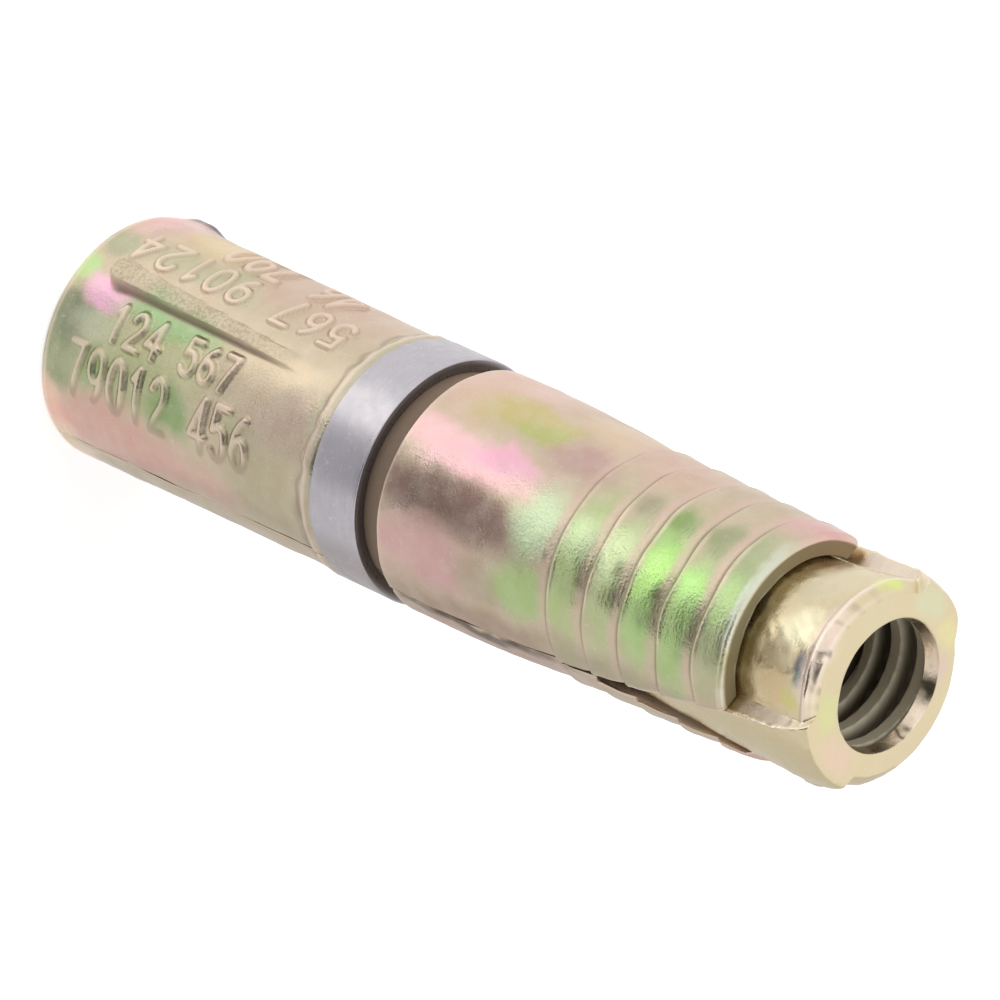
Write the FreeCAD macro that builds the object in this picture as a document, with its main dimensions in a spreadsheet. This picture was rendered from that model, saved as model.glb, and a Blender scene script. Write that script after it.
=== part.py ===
import FreeCAD, Part
import math
import os
import re

import Sketcher

# Expansion anchor for a quarter-inch bolt, in millimetres.
# Two equal half shells stand on their flat rear ends, a split band holds them
# together in a groove, and a winged expander nut sits in their front end.
# The Z axis is the anchor's axis, with the nut on top. The first shell's rib
# points along +X, and the two seams lie at +Y and -Y.

# Every size is a cell of the sheet.
SIZES = {
    # Whole anchor, from the flat rear end to the nut's face
    "anchor_length": 39.4,
    # Half shell, rear section
    "rear_radius": 4.78,
    "rear_bevel": 0.16,
    "waist_radius": 4.66,
    "lip_radius": 4.75,
    "lip_width": 0.36,
    "lip_ramp": 0.16,
    # Groove that holds the band
    "groove_width": 3.51,
    "groove_radius": 4.25,
    # Half shell, front section: a land, a shoulder, a slope and then the teeth
    "front_section": 17.21,
    "front_radius": 4.72,
    "front_bevel": 0.08,
    "land_length": 2.0,
    "shoulder_radius": 4.54,
    "shoulder_bend": 70.0,
    "slope_length": 1.7,
    "slope_radius": 4.38,
    "nose_length": 1.45,
    "tooth_pitch": 1.81,
    "tooth_radius": 4.48,
    "tooth_fall": 0.035,
    "tooth_depth": 0.14,
    "tooth_step": 0.1,
    "tooth_bend": 7.0,
    "nose_radius": 4.24,
    "nose_round": 0.24,
    # Bores of the half shells
    "bolt_bore_radius": 3.25,
    "bore_bevel": 0.2,
    "pocket_clearance": 0.07,
    "pocket_end_gap": 0.5,
    "mouth_bevel": 0.1,
    # Seam between the shells, and the notch that takes a wing at each side
    "seam_gap": 0.12,
    "notch_lead": 2.0,
    "notch_angle": 9.55,
    # Rib along the middle of each shell
    "rib_start": 1.7,
    "rib_end_gap": 1.98,
    "rib_height": 0.52,
    "rib_head_radius": 0.58,
    "rib_tail_height": 0.05,
    "rib_tail_radius": 0.24,
    # Split band
    "band_clearance": 0.02,
    "band_thickness": 0.5,
    "band_width": 2.4,
    "band_bevel": 0.08,
    "band_split": 5.0,
    # Expander nut
    "nut_length": 9.4,
    "nut_reach": 4.0,
    "nut_spigot_radius": 3.38,
    "nut_taper": 7.0,
    "nut_head_radius": 3.79,
    "nut_rim_width": 0.55,
    "nut_rim_fall": 0.4,
    "nut_nose_bevel": 0.15,
    "thread_bore_radius": 2.5,
    "thread_mouth_bevel": 0.1,
    "wing_root_radius": 4.0,
    "wing_radius": 4.18,
    "wing_flare": 1.7,
    "wing_round": 1.1,
    "wing_clearance": 0.16,
    "wing_turn": 1.8,
}
TEETH = 5
SHEET = "sizes"

# Heights along the axis, worked out from the sizes
SHELL_END = "(anchor_length - nut_reach)"
GROOVE_END = f"({SHELL_END} - front_section)"
GROOVE_START = f"({GROOVE_END} - groove_width)"
TOOTH_START = f"({SHELL_END} - nose_length - {TEETH - 1} * tooth_pitch)"
NUT_FOOT = "(anchor_length - nut_length)"
NOTCH_START = f"({NUT_FOOT} - notch_lead)"

doc = FreeCAD.newDocument("expansion_anchor")
sheet = doc.addObject("Spreadsheet::Sheet", SHEET)
for row, (alias, size) in enumerate(SIZES.items(), start=1):
    sheet.set(f"A{row}", alias)
    sheet.set(f"B{row}", str(size))
    sheet.setAlias(f"B{row}", alias)
doc.recompute()


def cells(text):
    """Turn an expression in size names into one that reads the sheet."""
    return re.sub(r"[a-z_]{3,}", lambda name: f"{SHEET}.{name.group()}"
                  if name.group() in SIZES else name.group(), text)


def value(text):
    """Work out an expression in size names."""
    return float(sheet.evalExpression(re.sub(rf"\b{SHEET}\.", "", cells(text))))


def bind(feature, **sizes):
    """Bind properties of a feature to expressions in size names."""
    for name, text in sizes.items():
        feature.setExpression(name, cells(text))


def new_body(label):
    """Start a sub-part, with a label that names its file."""
    body = doc.addObject("PartDesign::Body", label)
    body.Label = label
    return body


def outline(body, name, corners):
    """Draw a closed outline in the body's own XZ plane, anticlockwise.

    Each corner is (x, z) or (x, z, bend). A bend is the radius of the side
    that follows the corner, and that side bulges out of the outline.
    """
    sketch = body.newObject("Sketcher::SketchObject", name)
    plane = next(item for item in body.Origin.OriginFeatures if item.Role == "XZ_Plane")
    sketch.AttachmentSupport = [(plane, "")]
    sketch.MapMode = "FlatFace"
    points = [FreeCAD.Vector(value(corner[0]), value(corner[1]), 0) for corner in corners]
    count = len(corners)
    ends = []
    for index, corner in enumerate(corners):
        first = points[index]
        last = points[(index + 1) % count]
        if len(corner) == 2:
            side = Part.LineSegment(first, last)
        else:
            chord = last - first
            radius = value(corner[2])
            rise = radius - math.sqrt(radius ** 2 - chord.Length ** 2 / 4)
            outward = FreeCAD.Vector(chord.y, -chord.x, 0).normalize()
            side = Part.Arc(first, (first + last) * 0.5 + outward * rise, last)
        geometry = sketch.addGeometry(side, False)
        forward = sketch.getPoint(geometry, 1).distanceToPoint(first) < 1e-6
        ends.append((geometry, 1, 2) if forward else (geometry, 2, 1))
        if len(corner) == 3:
            bend = sketch.addConstraint(Sketcher.Constraint("Radius", geometry, radius))
            sketch.setExpression(f"Constraints[{bend}]", cells(corner[2]))
    for index, corner in enumerate(corners):
        geometry, start, end = ends[index]
        follower, follower_start, follower_end = ends[(index + 1) % count]
        sketch.addConstraint(
            Sketcher.Constraint("Coincident", geometry, end, follower, follower_start))
        for axis, kind, text in ((-2, "DistanceX", corner[0]), (-1, "DistanceY", corner[1])):
            if text == "0":
                sketch.addConstraint(Sketcher.Constraint("PointOnObject", geometry, start, axis))
                continue
            place = points[index].x if kind == "DistanceX" else points[index].y
            number = sketch.addConstraint(
                Sketcher.Constraint(kind, -1, 1, geometry, start, place))
            sketch.setExpression(f"Constraints[{number}]", cells(text))
    return sketch


def turn(body, kind, name, sketch, angle="360"):
    """Revolve an outline about the body's Z axis, evenly to both sides of +X."""
    feature = body.newObject(kind, name)
    feature.Profile = sketch
    feature.ReferenceAxis = (sketch, ["V_Axis"])
    feature.Midplane = True
    feature.Angle = value(angle)
    bind(feature, Angle=angle)
    sketch.Visibility = False
    doc.recompute()
    return feature


def cut_across(body, name, sketch):
    """Cut an outline right through the body along Y, and see that it cuts."""
    before = body.Tip.Shape.Volume
    feature = body.newObject("PartDesign::Pocket", name)
    feature.Profile = sketch
    feature.SideType = "Symmetric"
    feature.Type = "ThroughAll"
    sketch.Visibility = False
    doc.recompute()
    if not feature.Shape.Volume < before:
        raise RuntimeError(f"{body.Label}: {name} cuts nothing")
    return feature


def shell_corners():
    """Half shell's section: bore, rear section, groove, front section, teeth."""
    lip_start = f"({GROOVE_START} - lip_width)"
    pocket_radius = "(nut_spigot_radius + pocket_clearance)"
    pocket_start = f"({NUT_FOOT} - pocket_end_gap)"
    corners = [
        ("bolt_bore_radius + bore_bevel", "0"),
        ("rear_radius - rear_bevel", "0"),
        ("rear_radius", "rear_bevel"),
        ("waist_radius", f"{lip_start} - lip_ramp"),
        ("lip_radius", lip_start),
        ("lip_radius", GROOVE_START),
        ("groove_radius", GROOVE_START),
        ("groove_radius", GROOVE_END),
        ("front_radius - front_bevel", GROOVE_END),
        ("front_radius", f"{GROOVE_END} + front_bevel"),
        ("front_radius", f"{GROOVE_END} + land_length", "shoulder_bend"),
        ("shoulder_radius", f"{TOOTH_START} - slope_length"),
        ("slope_radius", TOOTH_START),
    ]
    for tooth in range(TEETH):
        crest = f"tooth_radius - {tooth} * tooth_fall"
        foot = f"{TOOTH_START} + {tooth} * tooth_pitch"
        corners.append((crest, f"{foot} + tooth_step", "tooth_bend"))
        if tooth < TEETH - 1:
            corners.append((f"{crest} - tooth_depth", f"{foot} + tooth_pitch"))
    corners += [
        ("nose_radius", f"{SHELL_END} - nose_round", "nose_round"),
        ("nose_radius - nose_round", SHELL_END),
        (f"{pocket_radius} + mouth_bevel", SHELL_END),
        (pocket_radius, f"{SHELL_END} - mouth_bevel"),
        (pocket_radius, pocket_start),
        ("bolt_bore_radius", pocket_start),
        ("bolt_bore_radius", "bore_bevel"),
    ]
    return corners


def add_rib(body):
    """Rib that is highest and widest at its round head and runs out forward."""
    head_x = "(rear_radius + rib_height - rib_head_radius)"
    head_z = "(rib_start + rib_head_radius)"
    tail_x = "(waist_radius + rib_tail_height - rib_tail_radius)"
    tail_z = f"({GROOVE_START} - rib_end_gap - rib_tail_radius)"
    drop = f"atan(({head_x} - {tail_x}) / ({tail_z} - {head_z}))"
    spine = body.newObject("PartDesign::AdditiveCone", "rib_spine")
    bind(spine, Radius1="rib_head_radius", Radius2="rib_tail_radius",
         Height=f"({tail_z} - {head_z}) / cos({drop})")
    spine.Placement.Rotation = FreeCAD.Rotation(FreeCAD.Vector(0, -1, 0), value(drop))
    head = body.newObject("PartDesign::AdditiveSphere", "rib_head")
    bind(head, Radius="rib_head_radius")
    tail = body.newObject("PartDesign::AdditiveSphere", "rib_tail")
    bind(tail, Radius="rib_tail_radius")
    for feature, x, z in ((spine, head_x, head_z), (head, head_x, head_z), (tail, tail_x, tail_z)):
        feature.setExpression("Placement.Base.x", cells(x))
        feature.setExpression("Placement.Base.z", cells(z))
        doc.recompute()


def half_shell(label, heading):
    """One half shell, with its rib at the given heading about Z."""
    body = new_body(label)
    section = outline(body, "section", shell_corners())
    turn(body, "PartDesign::Revolution", "wall", section, "180")
    edge = "seam_gap / 2"
    seam = outline(body, "seam", [
        ("0", "0"),
        (edge, "0"),
        (edge, NOTCH_START),
        (f"{edge} + ({SHELL_END} - {NOTCH_START}) * tan(notch_angle)", SHELL_END),
        ("0", SHELL_END),
    ])
    cut_across(body, "seam_and_notches", seam)
    add_rib(body)
    body.Placement.Rotation = FreeCAD.Rotation(FreeCAD.Vector(0, 0, 1), heading)
    return body


def retaining_band():
    """Flat band bent round the groove, with its butt gap behind the anchor."""
    body = new_body("retaining_band")
    inner = "(groove_radius + band_clearance)"
    outer = f"({inner} + band_thickness)"
    low = f"({GROOVE_START} + band_clearance)"
    high = f"({low} + band_width)"
    section = outline(body, "section", [
        (inner, low),
        (f"{outer} - band_bevel", low),
        (outer, f"{low} + band_bevel"),
        (outer, f"{high} - band_bevel"),
        (f"{outer} - band_bevel", high),
        (inner, high),
    ])
    turn(body, "PartDesign::Revolution", "band", section, "360 - band_split")
    return body


def expander_nut():
    """Tapered nut whose two wings lie in the notches between the shells."""
    body = new_body("expander_nut")
    top = "anchor_length"
    blank = outline(body, "wing_section", [
        ("0", NUT_FOOT),
        ("wing_root_radius", NUT_FOOT),
        ("wing_radius", f"{top} - wing_flare"),
        ("wing_radius", f"{top} - wing_round", "wing_round"),
        ("wing_radius - wing_round / 2", top),
        ("0", top),
    ])
    turn(body, "PartDesign::Revolution", "wing_blank", blank)
    edge = "(seam_gap / 2 - wing_clearance)"
    low = f"({edge} + ({NUT_FOOT} - {NOTCH_START}) * tan(notch_angle))"
    high = f"({edge} + ({top} - {NOTCH_START}) * tan(notch_angle))"
    reach = "(wing_radius + wing_clearance)"
    for side in ("", "-"):
        corners = [
            (side + low, NUT_FOOT),
            (side + reach, NUT_FOOT),
            (side + reach, top),
            (side + high, top),
        ]
        if side:
            corners.reverse()
        cut_across(body, "wing_side", outline(body, "wing_side_outline", corners))
    cone_foot = f"({top} - nut_rim_width - (nut_head_radius - nut_spigot_radius) / tan(nut_taper))"
    cone = outline(body, "cone_section", [
        ("0", NUT_FOOT),
        ("nut_spigot_radius - nut_nose_bevel", NUT_FOOT),
        ("nut_spigot_radius", f"{NUT_FOOT} + nut_nose_bevel"),
        ("nut_spigot_radius", cone_foot),
        ("nut_head_radius", f"{top} - nut_rim_width"),
        ("nut_head_radius - nut_rim_fall", top),
        ("0", top),
    ])
    turn(body, "PartDesign::Revolution", "cone", cone)
    bore = outline(body, "bore_section", [
        ("0", NUT_FOOT),
        ("thread_bore_radius + thread_mouth_bevel", NUT_FOOT),
        ("thread_bore_radius", f"{NUT_FOOT} + thread_mouth_bevel"),
        ("thread_bore_radius", f"{top} - thread_mouth_bevel"),
        ("thread_bore_radius + thread_mouth_bevel", top),
        ("0", top),
    ])
    before = body.Tip.Shape.Volume
    if not turn(body, "PartDesign::Groove", "thread_bore", bore).Shape.Volume < before:
        raise RuntimeError("the nut's bore cuts nothing")
    body.Placement.Rotation = FreeCAD.Rotation(FreeCAD.Vector(0, 0, -1), value("wing_turn"))
    return body


parts = [
    half_shell("half_shell_a", 0),
    half_shell("half_shell_b", 180),
    retaining_band(),
    expander_nut(),
]
doc.recompute()

for item in doc.Objects:
    if {"Invalid", "Error"} & set(item.State):
        raise RuntimeError(f"{item.Label} failed: {item.State}")
for part in parts:
    if part.Shape.isNull() or not part.Shape.isValid() or len(part.Shape.Solids) != 1:
        raise RuntimeError(f"{part.Label} is not one valid solid")

os.makedirs("parts", exist_ok=True)
for part in parts:
    part.Shape.exportStep(f"parts/{part.Label}.step")
    box = part.Shape.BoundBox
    print(f"{part.Label}: {part.Shape.Volume:.3f} mm3, z {box.ZMin:.3f} to {box.ZMax:.3f},"
          f" x {box.XMin:.3f} to {box.XMax:.3f}, y {box.YMin:.3f} to {box.YMax:.3f}")
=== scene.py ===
import math

import bmesh
import bpy
import numpy as np
from mathutils import Matrix, Vector

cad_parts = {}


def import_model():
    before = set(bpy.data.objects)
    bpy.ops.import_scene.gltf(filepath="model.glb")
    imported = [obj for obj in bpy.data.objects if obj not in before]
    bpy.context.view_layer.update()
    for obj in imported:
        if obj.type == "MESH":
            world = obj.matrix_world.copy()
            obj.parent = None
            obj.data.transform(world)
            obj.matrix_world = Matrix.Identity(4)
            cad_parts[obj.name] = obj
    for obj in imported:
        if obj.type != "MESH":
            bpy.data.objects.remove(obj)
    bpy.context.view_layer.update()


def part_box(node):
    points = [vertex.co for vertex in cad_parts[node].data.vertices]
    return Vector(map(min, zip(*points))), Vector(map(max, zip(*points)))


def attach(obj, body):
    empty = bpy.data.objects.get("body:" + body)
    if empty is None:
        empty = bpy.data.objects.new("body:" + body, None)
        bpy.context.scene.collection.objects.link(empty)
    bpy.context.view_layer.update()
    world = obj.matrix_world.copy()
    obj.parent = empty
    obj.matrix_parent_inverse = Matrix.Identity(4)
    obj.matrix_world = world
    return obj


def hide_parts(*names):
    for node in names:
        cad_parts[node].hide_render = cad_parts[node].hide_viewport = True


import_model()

# Looks of an expansion anchor that stands on its flat rear end.
# Lengths are millimetres and angles degrees; meshes are scaled to metres when made.
# An angle is a heading about the anchor's axis, with the first shell's rib at 0.
# A value that is a pair gives the heights at which a smooth step starts and ends.
MM = 0.001

# A length beyond anything on the anchor
FAR_AWAY = 9.0


def reach(node):
    """Lowest and highest height of a frame node, and its largest radius."""
    low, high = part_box(node)
    return low.z / MM, high.z / MM, high.y / MM


SHELL_HIGH, REAR_RADIUS = reach("half_shell_a")[1:]
BAND_LOW, BAND_HIGH, BAND_RADIUS = reach("retaining_band")
NUT_LOW, NUT_HIGH, WING_RADIUS = reach("expander_nut")

# Half shell: rear section, lip and groove
REAR_ROUND = 0.16
WAIST_RADIUS = 4.66
LIP_RADIUS = 4.75
LIP_WIDTH = 0.42
LIP_SLOPE = 0.2
LIP_ROUND = 0.05
LIP_ROUND_HEIGHT = 0.12
GROOVE_RADIUS = 4.25
GROOVE_LOW = 14.68
GROOVE_HIGH = 18.19
LIP_LOW = GROOVE_LOW - LIP_WIDTH

# Half shell: front section, teeth and nose
FRONT_RADIUS = 4.72
FRONT_ROUND = 0.07
FRONT_ROUND_HEIGHT = 0.09
LAND_HIGH = GROOVE_HIGH + 2.0
SHOULDER_RADIUS = 4.54
SHOULDER_BULGE = 0.04
SLOPE_LOW = 25.01
SLOPE_RADIUS = 4.38
TOOTH_LOW = 26.71
TOOTH_PITCH = 1.81
TEETH = 5
TOOTH_RADIUS = 4.48
TOOTH_FALL = 0.035
TOOTH_DEPTH = 0.14
TOOTH_BULGE = 0.055
TOOTH_WANDER = 0.05
WANDER_START = (24, 27)
CREST_RISE = 0.03
NOSE_RADIUS = 4.24
NOSE_ROUND = 0.2

# Half shell: bore, pocket, seam and notch. Each shell stands half a gap back from the seam,
# and takes most of that up again below the notch
BORE_RADIUS = 3.25
BORE_BEVEL = 0.2
POCKET_RADIUS = 3.45
POCKET_LOW = 29.5
POCKET_EDGE = 3.6
POCKET_EDGE_HEIGHT = 0.2
CHIP_DEPTH = 0.09
SEAM_HALF = 0.06
SEAM_CLOSED = 0.04
SEAM_ROUND = 0.05
SEAM_ROUND_WIDTH = 0.16
SEAM_OPENING = 1.5
NOTCH_LOW = 28.0
NOTCH_SLOPE = math.tan(math.radians(9.55))

# Grid of the half shell: rows are close at the numerals and teeth, and columns are even up to
# a side angle, then closer towards the seams
NUMERAL_ROWS_LOW = 0.4
NUMERAL_ROWS_HIGH = 13.0
NUMERAL_ROW_STEP = 0.072
LIP_ROWS_LOW = 13.8
TOOTH_ROWS_LOW = 26.3
TOOTH_ROW_STEP = 0.055
SIDE_ANGLE = 64
COLUMN_STEP = 0.86

# Rib of the half shell
RIB_HEAD = 2.25
RIB_TAIL = 12.5
RIB_HEAD_ANGLE = -1.8
RIB_TAIL_ANGLE = 2.4
RIB_HEAD_HALF = 0.5
RIB_TAIL_HALF = 0.3
RIB_HEAD_SWELL = 0.09
RIB_HEIGHT = 0.5
RIB_ROUGHNESS = 0.013

# Flash of the first shell, a sliver of metal beside one seam at the rear end
FLASH_ANGLE = -73
FLASH_WIDTH = 8
FLASH_RISE = 0.26
FLASH_END = (0.7, 1.8)

# Retaining band
BAND_INNER = GROOVE_RADIUS + 0.02
BAND_ROUND = 0.07
BAND_GAP_HALF = 2.5

# Nut: round side, rim and wings
SPIGOT_RADIUS = 3.38
SPIGOT_BEVEL = 0.15
HEAD_RADIUS = 3.79
CONE_ANGLE = 7.0
RIM_HEIGHT = 0.6
RIM_LIFT = 0.2
RIM_FALL = 0.4
WING_ROOT_RADIUS = 4.0
WING_TURN = 1.8
WING_CLEARANCE = 0.16
WING_FULL = 1.9
WING_CURL = 0.42
CURL_HEIGHT = 1.2
WING_CUT = 0.5
WING_CUT_HEIGHT = 2.2
BLEND = 0.05
NOISE_RADIUS = 3.8

# Nut: how far its beads and burrs stand out, and where the wings' edges and flanks are seen
RIM_BEAD = 0.04
INNER_BEAD = 0.05
EDGE_BURR = 0.06
FLANK_ROUGHNESS = 0.03
ROLL_RISE = 0.14
ROLL_ANGLE = -40
ROLL_DEPTH = 0.42
EDGE_START = (35.4, 36.4)
FLANK_START = (35.6, 36.1)
FLANK_END = (38.5, 38.9)

# Seed from which the nut's random draws are counted on
NUT_SEED = 60

# Grid of the nut: columns are close at the wings, and rows where the shells hide nothing
COLUMN_ANGLE = 1.0
WING_COLUMN_ANGLE = 0.45
SIDE_SEEN = 34.8
RIM_SEEN = 1.4
THREAD_SEEN = 35.9

# Nut: thread, throat and bevelled mouth
THREAD_PITCH = 1.27
THREAD_MINOR = 2.5
THREAD_MAJOR = 3.12
CREST_HEIGHT = 38.54
CREST_ANGLE = -155.0
MOUTH_RADIUS = 2.54
MOUTH_SKEW = 0.12
MOUTH_ANGLE = -140.0
MOUTH_DEPTH = 0.5
THROAT_RADIUS = 2.42

# Dark stains in the mouth's bevel: angle and width
MOUTH_STAINS = ((-143, 7), (171, 5))


# Small maths

def smooth(value, low, high):
    """Smooth step from 0 at low to 1 at high."""
    share = np.clip((value - low) / (high - low), 0, 1)
    return share * share * (3 - 2 * share)


def bump(value, centre, width):
    """Bell of height 1 about a centre."""
    return np.exp(-((value - centre) / width) ** 2)


def ripple(points, size, seed, waves=14):
    """Smooth irregular field of about -1 to 1, with hollows of about one size."""
    draw = np.random.default_rng(seed)
    total = 0
    for _ in range(waves):
        direction = draw.normal(size=3)
        direction *= 2 * math.pi / (size * draw.uniform(0.7, 1.8) * np.linalg.norm(direction))
        total = total + np.sin(points @ direction + draw.uniform(0, 2 * math.pi))
    return total / math.sqrt(waves)


def cylinder(radius, angle, height):
    """Points at a radius, an angle in degrees and a height."""
    turn = np.radians(angle)
    return np.stack([radius * np.cos(turn), radius * np.sin(turn),
                     height + np.zeros_like(turn)], axis=-1)


def spread(*stretches):
    """Values along a line, from stretches of (start, end, spacing)."""
    values = [np.linspace(start, end, max(2, round((end - start) / step) + 1))[:-1]
              for start, end, step in stretches]
    return np.concatenate(values + [[stretches[-1][1]]])


# Meshes

def add_object(name, data):
    """Object that shows some data, added to the scene."""
    added = bpy.data.objects.new(name, data)
    bpy.context.scene.collection.objects.link(added)
    return added


def make_mesh(name, points, faces, sharp=40.0, **fields):
    """Mesh object from a grid of points in millimetres, with fields kept at its vertices."""
    mesh = bpy.data.meshes.new(name)
    mesh.from_pydata((points.reshape(-1, 3) * MM).tolist(), [], faces)
    for field, values in fields.items():
        mesh.attributes.new(field, "FLOAT", "POINT").data.foreach_set(
            "value", np.clip(values, 0, 1).astype(np.float32).ravel())
    work = bmesh.new()
    work.from_mesh(mesh)
    bmesh.ops.triangulate(work, faces=[face for face in work.faces if len(face.verts) > 4])
    bmesh.ops.recalc_face_normals(work, faces=work.faces)
    work.to_mesh(mesh)
    work.free()
    mesh.shade_smooth()
    mesh.set_sharp_from_angle(angle=math.radians(sharp))
    return add_object(name, mesh)


def grid_faces(rows, columns, wrap_rows=False, wrap_columns=False):
    """Quads between neighbouring rows and columns of a grid of points."""
    faces = []
    for row in range(rows if wrap_rows else rows - 1):
        above = (row + 1) % rows
        for column in range(columns if wrap_columns else columns - 1):
            beside = (column + 1) % columns
            faces.append((row * columns + column, row * columns + beside,
                          above * columns + beside, above * columns + column))
    return faces


def swept_faces(rows, columns):
    """Faces of a closed section of rows that is swept over columns, with flat ends."""
    ends = [[row * columns + column for row in range(rows)] for column in (0, columns - 1)]
    return grid_faces(rows, columns, wrap_rows=True) + ends


# Raised numerals, drawn in cells that are one unit high

def arc(x, y, across, up, start, end, points=9):
    """Points on an ellipse's arc, from a start to an end angle in degrees."""
    turns = [math.radians(start + (end - start) * k / (points - 1)) for k in range(points)]
    return [(x + across * math.cos(turn), y + up * math.sin(turn)) for turn in turns]


NUMERALS = {
    "0": [arc(0.3, 0.5, 0.27, 0.47, 0, 360, 17)],
    "1": [[(0.12, 0.78), (0.3, 0.97), (0.3, 0.03)]],
    "2": [arc(0.29, 0.7, 0.26, 0.27, 165, -35) + [(0.03, 0.03), (0.58, 0.03)]],
    "4": [[(0.45, 0.03), (0.45, 0.97), (0.03, 0.32), (0.6, 0.32)]],
    "5": [[(0.54, 0.97), (0.1, 0.97), (0.07, 0.56)] + arc(0.28, 0.33, 0.28, 0.3, 110, -150)],
    "6": [arc(0.3, 0.3, 0.26, 0.27, 0, 360, 15), arc(0.62, 0.36, 0.58, 0.62, 115, 180, 7)],
    "7": [[(0.04, 0.97), (0.56, 0.97), (0.22, 0.03)]],
    "9": [arc(0.3, 0.7, 0.26, 0.27, 0, 360, 15), arc(-0.02, 0.64, 0.58, 0.62, -65, 0, 7)],
}

# Width of a cell, and of the numeral in it
CELL = 0.86
NUMERAL_WIDTH = 0.6

# Rows of numerals: text, start and end height, angle of the foot and top, stroke width
ROWS = [
    ("124 567", 3.0, 9.6, 28.5, 11.0, 0.15),
    ("79012 456", 1.5, 11.2, 60.0, 33.5, 0.16),
    ("567 90124", 12.7, 1.6, -29.5, -11.5, 0.15),
    ("46 790", 11.0, 4.6, -60.0, -34.5, 0.17),
]
NUMERAL_HEIGHT = 0.15
NUMERAL_MARGIN = 0.6
NUMERAL_MARGIN_ANGLE = 6


def distance_to(path, spots):
    """Distance of each spot from a path of straight strokes."""
    away = np.full(len(spots), FAR_AWAY)
    for first, last in zip(path[:-1], path[1:]):
        side = last - first
        share = np.clip((spots - first) @ side / (side @ side), 0, 1)
        away = np.minimum(away, np.linalg.norm(spots - first - share[:, None] * side, axis=1))
    return away


def numeral_relief(angle, height):
    """Height of the raised numerals over a grid of angles and heights."""
    relief = np.zeros_like(angle)
    for text, start, end, foot, top, width in ROWS:
        cell = (end - start) / (len(text) - 1 + NUMERAL_WIDTH / CELL)
        for place, sign in enumerate(text):
            for stroke in NUMERALS.get(sign, ()):
                path = np.array([(start + cell * (place + x / CELL), foot + (top - foot) * y)
                                 for x, y in stroke])
                low, high = path.min(0) - NUMERAL_MARGIN, path.max(0) + NUMERAL_MARGIN
                near = ((height > low[0]) & (height < high[0])
                        & (angle > low[1] - NUMERAL_MARGIN_ANGLE)
                        & (angle < high[1] + NUMERAL_MARGIN_ANGLE))
                spots = np.stack([height[near], np.radians(angle[near]) * REAR_RADIUS], -1)
                path[:, 1] = np.radians(path[:, 1]) * REAR_RADIUS
                ridge = 1 - smooth(distance_to(path, spots), width * 0.3, width * 1.5)
                relief[near] = np.maximum(relief[near], ridge)
    return relief * (1 - 0.75 * smooth(np.abs(angle), 50, 60))


# Half shell

def rib_relief(angle, height):
    """Rib with a round head, a flat back and a tail that runs out: rise, back and shade."""
    along = np.clip((height - RIB_HEAD) / (RIB_TAIL - RIB_HEAD), 0, 1)
    side = angle - RIB_HEAD_ANGLE - (RIB_TAIL_ANGLE - RIB_HEAD_ANGLE) * along
    half = (RIB_HEAD_HALF + (RIB_TAIL_HALF - RIB_HEAD_HALF) * along
            + RIB_HEAD_SWELL * bump(height, RIB_HEAD, 0.6))
    end = np.where(height < RIB_HEAD, RIB_HEAD - height, 0)
    end = np.where(height > RIB_TAIL, height - RIB_TAIL, end)
    across = np.hypot(np.radians(side) * REAR_RADIUS, end) / half
    fade = 1 - smooth(along, 0.74, 1.0)
    rise = RIB_HEIGHT * (1 - 0.6 * along) * fade * (1 - smooth(across, 0.72, 1.14))
    back = (1 - smooth(across, 0.6, 1.0)) * fade
    # Painted shade along the rib's lower flank
    shade = bump(across, 1.08, 0.24) * smooth(side, 0, 2) * fade * smooth(height, 1.8, 2.6)
    return rise, back, shade


def outer_heights():
    """Heights of the rows on a shell's outer side, behind and in front of the groove."""
    low, high = NUMERAL_ROWS_LOW, NUMERAL_ROWS_HIGH
    rear = spread((REAR_ROUND, low, 0.08), (low, high, NUMERAL_ROW_STEP),
                  (high, LIP_ROWS_LOW, 0.1), (LIP_ROWS_LOW, GROOVE_LOW, 0.08))
    front = spread((GROOVE_HIGH, GROOVE_HIGH + 0.2, 0.05), (GROOVE_HIGH + 0.2, TOOTH_ROWS_LOW, 0.2),
                   (TOOTH_ROWS_LOW, SHELL_HIGH - NOSE_ROUND, TOOTH_ROW_STEP))
    return rear, front


def rear_radius_at(height):
    """Wall of the rear section, with the lip beside the band."""
    lip = smooth(height, LIP_LOW - LIP_SLOPE, LIP_LOW)
    wall = REAR_RADIUS + (WAIST_RADIUS - REAR_RADIUS) * height / LIP_LOW
    edge = LIP_ROUND * smooth(height, GROOVE_LOW - LIP_ROUND_HEIGHT, GROOVE_LOW)
    return wall + (LIP_RADIUS - WAIST_RADIUS) * lip - edge


def front_radius_at(height):
    """Wall of the front section: land, shoulder, slope and teeth."""
    share = (height - LAND_HIGH) / (SLOPE_LOW - LAND_HIGH)
    wall = np.interp(height, [LAND_HIGH, SLOPE_LOW, TOOTH_LOW],
                     [FRONT_RADIUS, SHOULDER_RADIUS, SLOPE_RADIUS])
    wall = wall + SHOULDER_BULGE * np.clip(4 * share * (1 - share), 0, 1)
    wall = wall - FRONT_ROUND * (1 - smooth(height, GROOVE_HIGH, GROOVE_HIGH + FRONT_ROUND_HEIGHT))
    tooth = np.clip(np.floor((height - TOOTH_LOW) / TOOTH_PITCH), 0, TEETH - 1)
    along = (height - TOOTH_LOW) / TOOTH_PITCH - tooth
    crest = TOOTH_RADIUS - TOOTH_FALL * tooth
    step = smooth(along, -0.01, 0.07)
    face = crest - TOOTH_DEPTH * along + TOOTH_BULGE * 4 * along * (1 - along)
    foot = np.where(tooth > 0, crest + TOOTH_FALL - TOOTH_DEPTH, SLOPE_RADIUS)
    return np.where(height > TOOTH_LOW, foot + (face - foot) * step, wall)


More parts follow.
